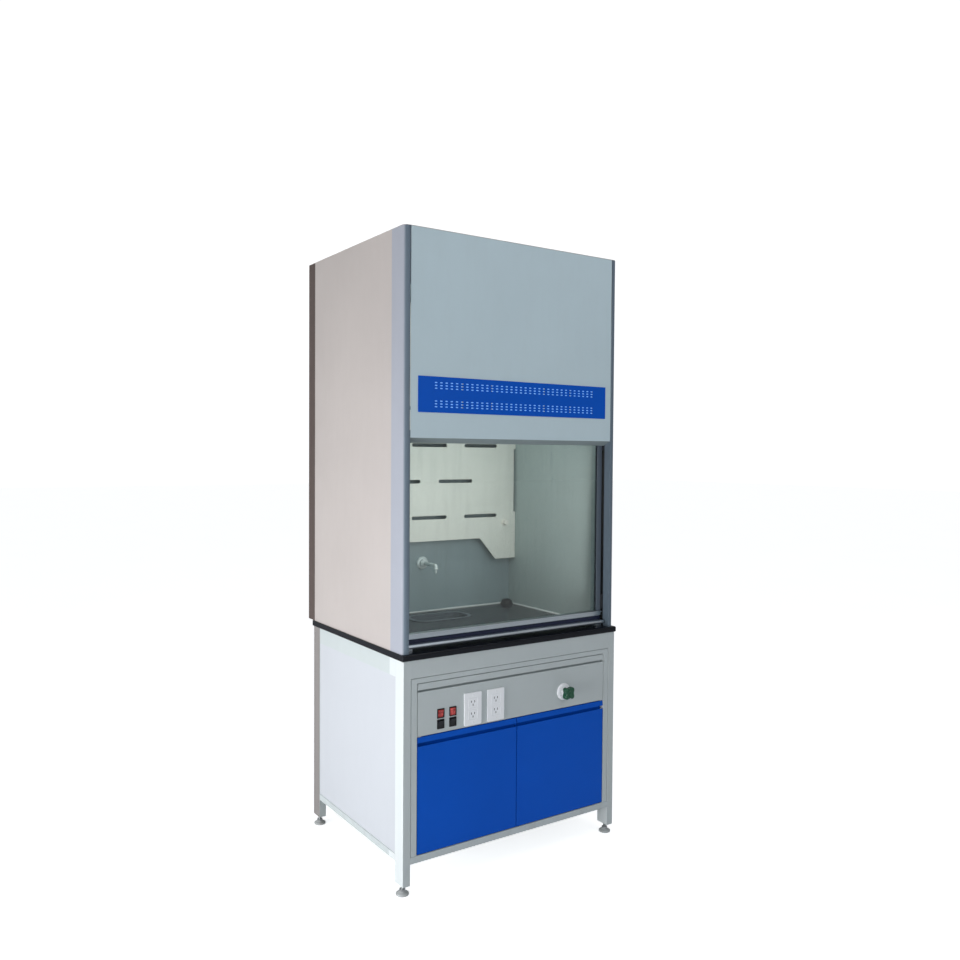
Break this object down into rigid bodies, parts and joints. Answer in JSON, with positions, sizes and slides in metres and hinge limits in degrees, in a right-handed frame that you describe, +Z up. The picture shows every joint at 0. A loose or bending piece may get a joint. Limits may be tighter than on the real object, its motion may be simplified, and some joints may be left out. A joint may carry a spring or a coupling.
{
  "type": "fume hood",
  "caption": "Floor-standing laboratory fume hood: counterweighted vertical sash, slotted baffle, exhaust collar, sink and services over a two-door steel base cabinet.",
  "frame": {"origin": "on the floor, under the middle of the whole envelope", "axes": "+Z up, -Y is the front with the sash and the doors, +X to the right seen from the front"},
  "size_m": [1.018, 0.902, 2.465],
  "materials": {
    "frame_grey": "satin powder coat",
    "panel_white": "satin powder coat",
    "post_grey": "satin powder coat",
    "fascia_grey": "satin powder coat",
    "collar_grey": "satin",
    "zinc_sheet": "zinc plated",
    "worktop_black": "satin phenolic",
    "sink_grey": "moulded",
    "faucet_grey": "coated",
    "service_white": "moulded",
    "brass_pipe": "drawn",
    "port_black": "moulded",
    "conduit_grey": "extruded",
    "switch_black": "moulded",
    "liner_grey": "smooth phenolic",
    "back_wall_grey": "smooth phenolic",
    "baffle_cream": "smooth phenolic",
    "nylon_white": "moulded",
    "blue_paint": "gloss powder coat",
    "sash_aluminium": "anodised",
    "sash_dark": "satin",
    "seal_navy": "extruded",
    "track_black": "extruded",
    "lamp_glass": "frosted",
    "cable_steel": "wire rope",
    "screw_steel": "zinc plated",
    "sash_glass": "clear safety glass",
    "weight_iron": "painted",
    "rocker_red": "translucent",
    "knob_green": "moulded",
    "foot_grey": "moulded on a steel stud"
  },
  "bodies": {
    "root": {"base_legs": "frame_grey", "base_rails": "frame_grey", "base_panels": "panel_white", "cabinet_carcass": "frame_grey", "cabinet_face_frame": "frame_grey", "service_panel": "frame_grey", "electrical_box": "zinc_sheet", "worktop": "worktop_black", "cup_sink": "sink_grey", "sink_trap": "sink_grey", "faucet": "faucet_grey", "water_valve": "service_white", "water_pipes": "brass_pipe", "cable_port": "port_black", "wiring_conduit": "conduit_grey", "door_fittings": "zinc_sheet", "switch_housings": "switch_black", "socket_outlets": "service_white", "corner_posts": "post_grey", "side_panels": "panel_white", "rear_panel": "panel_white", "roof_panel": "panel_white", "exhaust_collar": "collar_grey", "side_liners": "liner_grey", "back_liner": "back_wall_grey", "ceiling_liner": "liner_grey", "baffle_lower": "baffle_cream", "baffle_upper": "baffle_cream", "baffle_fixings": "nylon_white", "fascia_panel": "fascia_grey", "vent_strip": "blue_paint", "airfoil_sill": "sash_aluminium", "sill_seal": "seal_navy", "sash_tracks": "track_black", "lamp_housing": "panel_white", "lamp_lens": "lamp_glass", "pulley_brackets": "zinc_sheet", "counterweight_rails": "zinc_sheet", "cable_top_runs": "cable_steel", "cable_sash_runs": "cable_steel", "cable_weight_runs": "cable_steel", "panel_screws": "screw_steel"},
    "sash": {"sash_glass": "sash_glass", "sash_bottom_rail": "sash_aluminium", "sash_frame": "sash_dark", "sash_guides": "track_black"},
    "balance_weight": {"counterweight": "weight_iron"},
    "front_shaft": {"front_pulleys": "zinc_sheet"},
    "rear_shaft": {"rear_pulleys": "zinc_sheet"},
    "left_door": {"door_left": "blue_paint"},
    "right_door": {"door_right": "blue_paint"},
    "switch_1": {"rocker_1": "rocker_red"},
    "switch_2": {"rocker_2": "rocker_red"},
    "switch_3": {"rocker_3": "switch_black"},
    "switch_4": {"rocker_4": "switch_black"},
    "water_knob": {"valve_knob": "knob_green"},
    "foot_fl": {"foot_front_left": "foot_grey"},
    "foot_fr": {"foot_front_right": "foot_grey"},
    "foot_rl": {"foot_rear_left": "foot_grey"},
    "foot_rr": {"foot_rear_right": "foot_grey"}
  },
  "joints": [
    {"name": "sash_lift", "type": "slide", "parent": "root", "child": "sash", "axis": [0, 0, 1], "range_m": [0, 0.6], "deforming": ["cable_sash_runs"]},
    {"name": "weight_drop", "type": "slide", "parent": "root", "child": "balance_weight", "axis": [0, 0, -1], "range_m": [0, 0.6], "deforming": ["cable_weight_runs"]},
    {"name": "front_pulley_spin", "type": "hinge", "parent": "root", "child": "front_shaft", "pos_m": [0, -0.314, 2.32], "axis": [-1, 0, 0], "range_deg": [0, 1150]},
    {"name": "rear_pulley_spin", "type": "hinge", "parent": "root", "child": "rear_shaft", "pos_m": [0, 0.355, 2.32], "axis": [-1, 0, 0], "range_deg": [0, 1150]},
    {"name": "left_door_hinge", "type": "hinge", "parent": "root", "child": "left_door", "pos_m": [-0.432, -0.3995, 0.35], "axis": [0, 0, -1], "range_deg": [0, 110]},
    {"name": "right_door_hinge", "type": "hinge", "parent": "root", "child": "right_door", "pos_m": [0.432, -0.3995, 0.35], "axis": [0, 0, 1], "range_deg": [0, 110]},
    {"name": "rocker_1_tilt", "type": "hinge", "parent": "root", "child": "switch_1", "pos_m": [-0.345, -0.402, 0.641], "axis": [-1, 0, 0], "range_deg": [0, 20]},
    {"name": "rocker_2_tilt", "type": "hinge", "parent": "root", "child": "switch_2", "pos_m": [-0.293, -0.402, 0.641], "axis": [-1, 0, 0], "range_deg": [0, 20]},
    {"name": "rocker_3_tilt", "type": "hinge", "parent": "root", "child": "switch_3", "pos_m": [-0.345, -0.402, 0.602], "axis": [-1, 0, 0], "range_deg": [0, 20]},
    {"name": "rocker_4_tilt", "type": "hinge", "parent": "root", "child": "switch_4", "pos_m": [-0.293, -0.402, 0.602], "axis": [-1, 0, 0], "range_deg": [0, 20]},
    {"name": "valve_turn", "type": "hinge", "parent": "root", "child": "water_knob", "pos_m": [0.23, -0.435, 0.637], "axis": [0, -1, 0], "range_deg": [-90, 0]},
    {"name": "foot_fl_screw", "type": "slide", "parent": "root", "child": "foot_fl", "axis": [0, 0, -1], "range_m": [0, 0.012]},
    {"name": "foot_fr_screw", "type": "slide", "parent": "root", "child": "foot_fr", "axis": [0, 0, -1], "range_m": [0, 0.012]},
    {"name": "foot_rl_screw", "type": "slide", "parent": "root", "child": "foot_rl", "axis": [0, 0, -1], "range_m": [0, 0.012]},
    {"name": "foot_rr_screw", "type": "slide", "parent": "root", "child": "foot_rr", "axis": [0, 0, -1], "range_m": [0, 0.012]}
  ],
  "couplings": [
    {"joint": "weight_drop", "follows": "sash_lift", "ratio": 1},
    {"joint": "front_pulley_spin", "follows": "sash_lift", "rad_per_m": 33.333},
    {"joint": "rear_pulley_spin", "follows": "sash_lift", "rad_per_m": 33.333}
  ]
}
